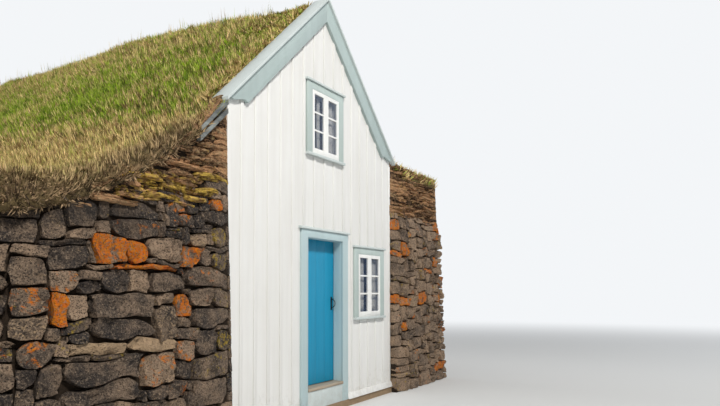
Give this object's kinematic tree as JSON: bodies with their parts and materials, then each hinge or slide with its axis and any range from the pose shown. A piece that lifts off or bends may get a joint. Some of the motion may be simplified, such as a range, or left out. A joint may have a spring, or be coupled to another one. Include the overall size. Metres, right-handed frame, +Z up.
{
  "type": "turf house",
  "caption": "Turf house: timber gable front with a plank door and casement windows between thick stone and turf walls, under a turf roof.",
  "frame": {"origin": "on the ground under the middle of the timber front, in the plane of its boards", "axes": "+X along the front to the right, +Y into the house along the ridge, +Z up"},
  "size_m": [8.8, 10.57, 5.9789],
  "materials": {
    "stone": "rough basalt rubble with orange lichen",
    "wall_turf": "packed brown turf",
    "grass_turf": "grass with dry straw",
    "bare_wood": "rough sawn",
    "worn_wood": "worn smooth",
    "white_boards": "white paint, satin",
    "trim_paint": "grey green paint, satin",
    "door_paint": "blue paint, satin",
    "iron": "dark forged iron",
    "window_glass": "clear"
  },
  "bodies": {
    "house": {"bargeboard_left": "trim_paint", "bargeboard_right": "trim_paint", "base_boards": "trim_paint", "collar_ties": "bare_wood", "door_casing": "trim_paint", "door_cornice": "trim_paint", "door_frame": "trim_paint", "door_riser": "trim_paint", "door_threshold": "worn_wood", "floor_bearers": "bare_wood", "floor_joists": "bare_wood", "front_footing": "stone", "front_wall_gable": "white_boards", "front_wall_left": "white_boards", "front_wall_right": "white_boards", "ground_floor": "bare_wood", "hinge_pintles": "iron", "left_wall_stone": "stone", "left_wall_turf": "wall_turf", "loft_floor": "bare_wood", "loft_joists": "bare_wood", "rafters_left": "bare_wood", "rafters_right": "bare_wood", "rear_wall_stone": "stone", "rear_wall_turf": "wall_turf", "right_wall_stone": "stone", "right_wall_turf": "wall_turf", "roof_boards_left": "bare_wood", "roof_boards_right": "bare_wood", "roof_turf_left": "grass_turf", "roof_turf_rear": "grass_turf", "roof_turf_right": "grass_turf", "side_posts": "bare_wood", "verge_cap_left": "trim_paint", "verge_cap_right": "trim_paint", "wall_flashing": "trim_paint", "wall_plates": "bare_wood", "window_caps": "trim_paint", "window_casings": "trim_paint", "window_glass": "window_glass", "window_sashes": "white_boards", "window_sills": "trim_paint"},
    "door": {"door_leaf": "door_paint", "door_handle": "iron", "hinge_straps": "iron"}
  },
  "joints": [
    {"name": "door_hinge", "type": "hinge", "parent": "house", "child": "door", "pos_m": [-0.436, 0.182, 1.39], "axis": [0, 0, 1], "range_deg": [0, 100]}
  ]
}
